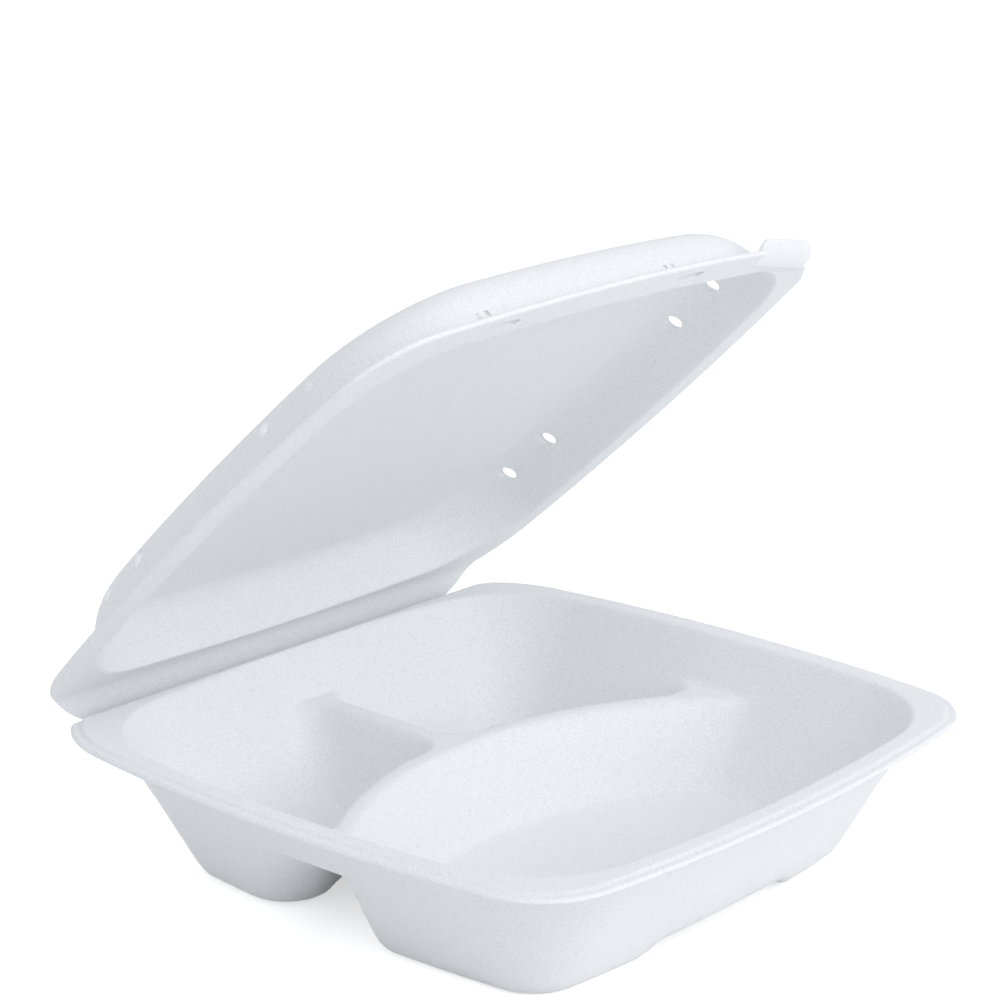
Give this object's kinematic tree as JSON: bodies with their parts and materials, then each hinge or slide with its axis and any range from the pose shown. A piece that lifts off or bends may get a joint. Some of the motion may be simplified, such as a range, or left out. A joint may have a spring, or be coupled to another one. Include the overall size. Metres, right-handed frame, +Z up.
{
  "type": "hinged-lid foam food container",
  "caption": "Square foam takeaway clamshell with three food compartments, a vented lid with a lift tab, latch slots and a foam hinge.",
  "frame": {"origin": "on the table, on the middle line of the base, midway between its front edge and the hinge", "axes": "+Z up, +X along the hinge towards the side with the lift tab, -Y the front edge, +Y the hinge"},
  "size_m": [0.229, 0.2282, 0.2015],
  "materials": {
    "foam": "matte"
  },
  "bodies": {
    "base": {"base_tray": "foam"},
    "lid": {"lid": "foam"}
  },
  "joints": [
    {"name": "lid_hinge", "type": "hinge", "parent": "base", "child": "lid", "pos_m": [0, 0.112, 0.04097], "axis": [-1, 0, 0], "range_deg": [-42, 136]}
  ]
}
